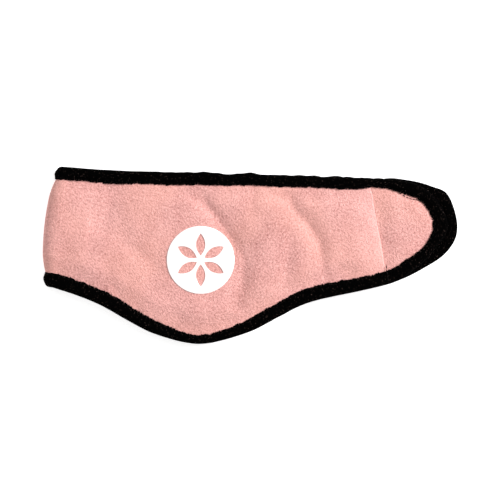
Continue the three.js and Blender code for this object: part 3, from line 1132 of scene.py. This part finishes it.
# ---- Seam tack ----
# The lap seam ends in a few backstitches at the lower binding. Their thread stands proud of the
# panel's edge and crosses the tape.
TACK_STEP = 2.3
TACK_LENGTH = 2.6
TACK_THREAD = 0.36
TACK_HEIGHT = 11.75
TACK_STRAY = [0.3, -0.2, 0.2, 0, 0.1]  # how far each stitch is off, in X and in Y
tack_start = seam_foot - 12.5 * seam_down + 0.4 * seam_across
tack_count = len(TACK_STRAY)
tack_xy = tack_start + np.arange(tack_count)[:, None] * TACK_STEP * seam_down
tack_xy = tack_xy + np.array(TACK_STRAY)[:, None]
tack_z = np.full(tack_count, TACK_HEIGHT)
tack_z[[0, -1]] -= 0.05
tack_ups = np.tile([0.0, 0.0, 1.0], (tack_count, 1))
tack_points, tack_faces = stitch_row(heights(tack_xy, tack_z), tack_ups, TACK_LENGTH, TACK_THREAD)
seam_tack = solid("seam_tack", tack_points, tack_faces, thread_material)
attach(seam_tack, "front_half")

# ---- Hook and loop tapes ----
# Black nylon tapes, sewn on round their edges: the hooks under the tab on the lining, and the
# longer loop tape on the rear end's outer face, so that the fit can be set.
PATCH = 0.6
PATCH_INSET = 12.0
PATCH_PITCH, PATCH_STITCH, PATCH_THREAD = 2.9, 2.3, 0.17
HOOK_SETBACK = 12.0


def patch_grid(edge, start, rows, columns):
    """A tape's grid: inside a bound edge, from a line this far past the seam to the tip."""
    origin = seam_top + start * seam_across
    sides = two_sides(inset_edge(edge, PATCH_INSET), origin, seam_across)
    return ruled(sides, np.linspace(0, 1, rows), columns, 6.0)


def patch_material(name, light, dark, pile, rows):
    """Woven nylon with rows of pile: how coarse the pile is, and how much its rows show."""
    material, start = new_material(name)
    place = start.node("TexCoord", {}, output="Object")
    fuzz = place.noise(pile, detail=3.0, roughness=0.7)
    lines = place.node("TexWave", {"Vector": place, "Scale": 190.0}, output="Fac")
    cover = (fuzz * (1 - rows) + lines * rows).clamped()
    finish_material(
        start,
        {
            "Base Color": cover.mix(dark, light),
            "Roughness": cover * 0.2 + 0.6,
            "Normal": start.node(
                "Bump", {"Strength": 0.8, "Distance": 0.5 * MM, "Height": cover}
            ),
            "Specular IOR Level": 0.2,
        },
    )
    return material


hook_material = patch_material("hook_tape", (0.02, 0.02, 0.021), (0.006, 0.006, 0.006), 900.0, 0.6)
loop_material = patch_material("loop_tape", (0.03, 0.028, 0.028), (0.006, 0.005, 0.005), 700.0, 0.2)


def sewn_patch(name, xy, low, material, node):
    """A flat tape with its edges pressed thinner, by exp(-rows / 1.5) from the border, and the
    stitches round it."""
    border = np.minimum.outer(
        np.minimum(np.arange(xy.shape[0]), np.arange(xy.shape[0])[::-1]),
        np.minimum(np.arange(xy.shape[1]), np.arange(xy.shape[1])[::-1]),
    )
    top = heights(xy, np.full(border.shape, low + PATCH))
    bottom = heights(xy, low + 0.22 * np.exp(-border / 1.5))
    piece = shell(name, top, bottom, material, cloth_places(top))
    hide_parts(node)
    ring = np.concatenate([xy[2, 2:-2], xy[2:-2, -3], xy[-3, -3:2:-1], xy[-3:2:-1, 2]])
    marks = np.arange(0, lengths(ring)[-1], PATCH_PITCH)
    at = heights(at_lengths(ring, marks), np.full(len(marks), low + 0.06))
    downs = np.tile([0.0, 0.0, -1.0], (len(at), 1))
    grid, faces = stitch_row(at, downs, PATCH_STITCH, PATCH_THREAD)
    seam = solid(name + "_stitches", grid, faces, thread_material)
    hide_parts(node + "_stitch")
    return piece, seam


hook_xy = patch_grid(front_edge, HOOK_SETBACK, 22, 30)
hook_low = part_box("hook_patch")[0][2] / MM
hook_pieces = sewn_patch("hook_tape", hook_xy, hook_low, hook_material, "hook_patch")
for piece in hook_pieces:
    tab_blend(piece)

loop_xy = patch_grid(rear_edge, REAR_TAB - LOOP_LENGTH, 60, 34)
loop_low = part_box("loop_patch")[0][2] / MM
loop_pieces = sewn_patch("loop_tape", loop_xy, loop_low, loop_material, "loop_patch")
for piece in loop_pieces:
    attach(piece, "rear_half")
